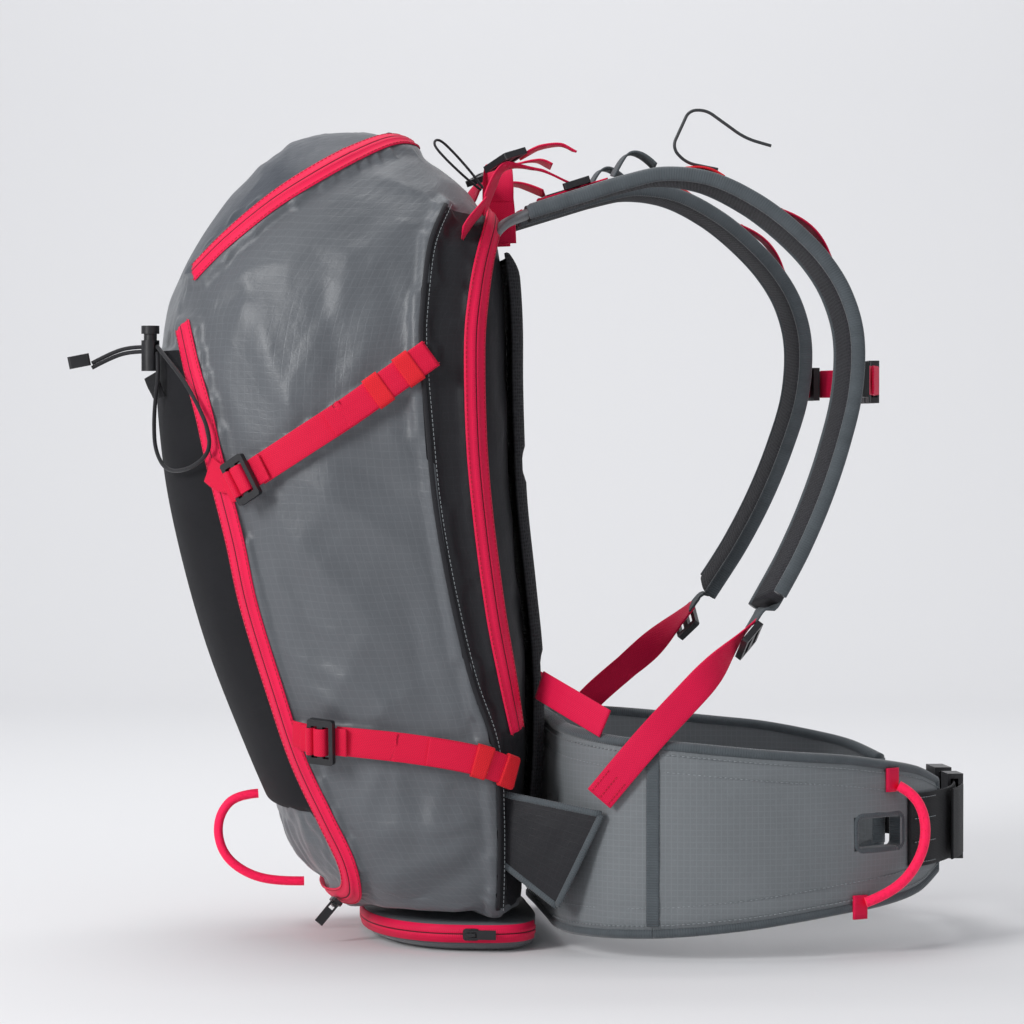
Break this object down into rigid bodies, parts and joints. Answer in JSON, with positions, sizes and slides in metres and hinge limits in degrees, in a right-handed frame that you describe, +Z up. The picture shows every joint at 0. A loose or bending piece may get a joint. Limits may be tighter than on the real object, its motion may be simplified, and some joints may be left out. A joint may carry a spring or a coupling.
{
  "type": "ski backpack",
  "caption": "Ski touring backpack with lid pocket, wrap-round zips, compression straps, axe loop, padded shoulder straps and folding hip belt.",
  "frame": {"origin": "middle of the flat base the pack stands on, in the middle plane", "axes": "+X towards the wearer, +Y to the wearer's left, +Z up"},
  "size_m": [0.629, 0.3496, 0.5741],
  "materials": {
    "side_fabric": "ripstop nylon, soft sheen",
    "lid_fabric": "coated nylon, soft sheen",
    "black_fabric": "plain black woven",
    "dark_fabric": "dark ripstop nylon",
    "mesh_foam": "moulded foam under black spacer mesh",
    "sheet_plastic": "black polyethylene sheet",
    "aluminium_bar": "mill",
    "belt_fabric": "quilted grey ripstop",
    "zip_tape": "coil zip, matt",
    "red_webbing": "woven webbing",
    "orange_elastic": "elastic webbing",
    "pink_webbing": "woven webbing",
    "grey_webbing": "woven webbing",
    "black_webbing": "woven webbing",
    "black_cord": "braided elastic cord",
    "buckle_plastic": "moulded acetal, satin",
    "slider_metal": "black, satin",
    "hook_wire": "black coated steel wire",
    "spring_steel": "bright",
    "strap_mesh": "black spacer mesh over foam"
  },
  "bodies": {
    "pack": {"bag_body": "side_fabric", "lid_pocket": "lid_fabric", "front_panel": "black_fabric", "lower_front_pocket": "side_fabric", "rear_gusset": "dark_fabric", "back_panel": "mesh_foam", "base_compartment": "side_fabric", "frame_sheet": "sheet_plastic", "frame_stay": "aluminium_bar", "lumbar_pad": "belt_fabric", "lid_zip": "zip_tape", "front_zip": "zip_tape", "rear_zip": "zip_tape", "base_zip": "zip_tape", "compression_straps": "red_webbing", "strap_anchors": "red_webbing", "ladder_locks": "buckle_plastic", "strap_keepers": "orange_elastic", "shoulder_strap_right": "strap_mesh", "shoulder_strap_left": "strap_mesh", "load_lifters": "pink_webbing", "webbing_locks": "buckle_plastic", "strap_bands": "grey_webbing", "strap_tabs": "orange_elastic", "strap_loops": "pink_webbing", "sternum_rails": "grey_webbing", "lower_webbing": "pink_webbing", "gusset_tabs": "belt_fabric", "bungee_loop": "black_cord", "bungee_tails": "black_cord", "cord_end": "buckle_plastic", "cord_lock_body": "buckle_plastic", "cord_lock_spring": "spring_steel", "top_cord_loop": "black_cord"},
    "wing_right": {"hip_wing_right": "belt_fabric", "gear_loop_right": "pink_webbing", "hip_webbing_right": "black_webbing"},
    "wing_left": {"hip_wing_left": "belt_fabric", "gear_loop_left": "pink_webbing", "hip_webbing_left": "black_webbing", "hip_buckle_female": "buckle_plastic"},
    "hip_male": {"hip_buckle_male": "buckle_plastic"},
    "axe_loop": {"axe_loop": "pink_webbing"},
    "haul_loop": {"haul_loop": "pink_webbing"},
    "wire_hook": {"wire_hook": "hook_wire"},
    "lock_button": {"cord_lock_button": "buckle_plastic"},
    "chest_strap": {"sternum_sliders": "buckle_plastic", "sternum_webbing": "pink_webbing", "sternum_female": "buckle_plastic"},
    "sternum_male": {"sternum_male": "buckle_plastic"},
    "front_slider": {"front_slider": "slider_metal"},
    "front_pull": {"front_pull": "buckle_plastic"},
    "lid_slider": {"lid_slider": "slider_metal"},
    "lid_pull": {"lid_pull": "buckle_plastic"},
    "rear_slider": {"rear_slider": "slider_metal"},
    "rear_pull": {"rear_pull": "buckle_plastic"},
    "base_slider": {"base_slider": "slider_metal"},
    "base_pull": {"base_pull": "buckle_plastic"}
  },
  "joints": [
    {"name": "wing_right_fold", "type": "hinge", "parent": "pack", "child": "wing_right", "pos_m": [0.1265, -0.1695, 0.081], "axis": [0, 0, 1], "range_deg": [-50, 0]},
    {"name": "wing_left_fold", "type": "hinge", "parent": "pack", "child": "wing_left", "pos_m": [0.1265, 0.1695, 0.081], "axis": [0, 0, 1], "range_deg": [0, 50]},
    {"name": "hip_male_adjust", "type": "slide", "parent": "wing_right", "child": "hip_male", "axis": [0, -1, 0], "range_m": [0, 0.005]},
    {"name": "axe_loop_swing", "type": "hinge", "parent": "pack", "child": "axe_loop", "pos_m": [-0.123, 0, 0.068], "axis": [-0.4586, 0, 0.8886], "range_deg": [-55, 55]},
    {"name": "haul_loop_fold", "type": "hinge", "parent": "pack", "child": "haul_loop", "pos_m": [0.03, 0, 0.513], "axis": [0, 1, 0], "range_deg": [-20, 50]},
    {"name": "wire_hook_swing", "type": "hinge", "parent": "pack", "child": "wire_hook", "pos_m": [0.163, -0.0786, 0.5346], "axis": [0, 1, 0], "range_deg": [-15, 14]},
    {"name": "cord_lock_press", "type": "slide", "parent": "pack", "child": "lock_button", "axis": [0, 0, -1], "range_m": [0, 0.0025], "stiffness_N_per_m": 300, "springref_m": -0.001, "deforming": ["cord_lock_spring"]},
    {"name": "chest_strap_height", "type": "slide", "parent": "pack", "child": "chest_strap", "axis": [0, 0, 1], "range_m": [-0.012, 0.012]},
    {"name": "sternum_male_adjust", "type": "slide", "parent": "chest_strap", "child": "sternum_male", "axis": [0, -1, 0], "range_m": [0, 0.004]},
    {"name": "front_zip_slide", "type": "slide", "parent": "pack", "child": "front_slider", "axis": [-0.184, 0.9778, -0.0998], "range_m": [-0.008, 0.008]},
    {"name": "front_pull_swing", "type": "hinge", "parent": "front_slider", "child": "front_pull", "pos_m": [-0.08882, -0.05375, 0.02725], "axis": [0.7577, 0.0764, -0.6481], "range_deg": [-55, 55]},
    {"name": "lid_zip_slide", "type": "slide", "parent": "pack", "child": "lid_slider", "axis": [-0.8544, 0.1019, -0.5095], "range_m": [-0.01, 0.01]},
    {"name": "lid_pull_swing", "type": "hinge", "parent": "lid_slider", "child": "lid_pull", "pos_m": [-0.10407, 0.08617, 0.53175], "axis": [-0.4308, -0.6871, 0.585], "range_deg": [-60, 0]},
    {"name": "rear_zip_slide", "type": "slide", "parent": "pack", "child": "rear_slider", "axis": [0.1453, -0.0573, -0.9877], "range_m": [-0.03, 0.03]},
    {"name": "rear_pull_swing", "type": "hinge", "parent": "rear_slider", "child": "rear_pull", "pos_m": [0.0166, 0.13657, 0.24796], "axis": [-0.8278, 0.5397, -0.1531], "range_deg": [-70, 0]},
    {"name": "base_zip_slide", "type": "slide", "parent": "pack", "child": "base_slider", "axis": [-0.9784, 0.2069, 0], "range_m": [-0.012, 0.02]},
    {"name": "base_pull_swing", "type": "hinge", "parent": "base_slider", "child": "base_pull", "pos_m": [-0.00017, -0.11696, 0.013], "axis": [0, 0, -1], "range_deg": [0, 70]}
  ]
}
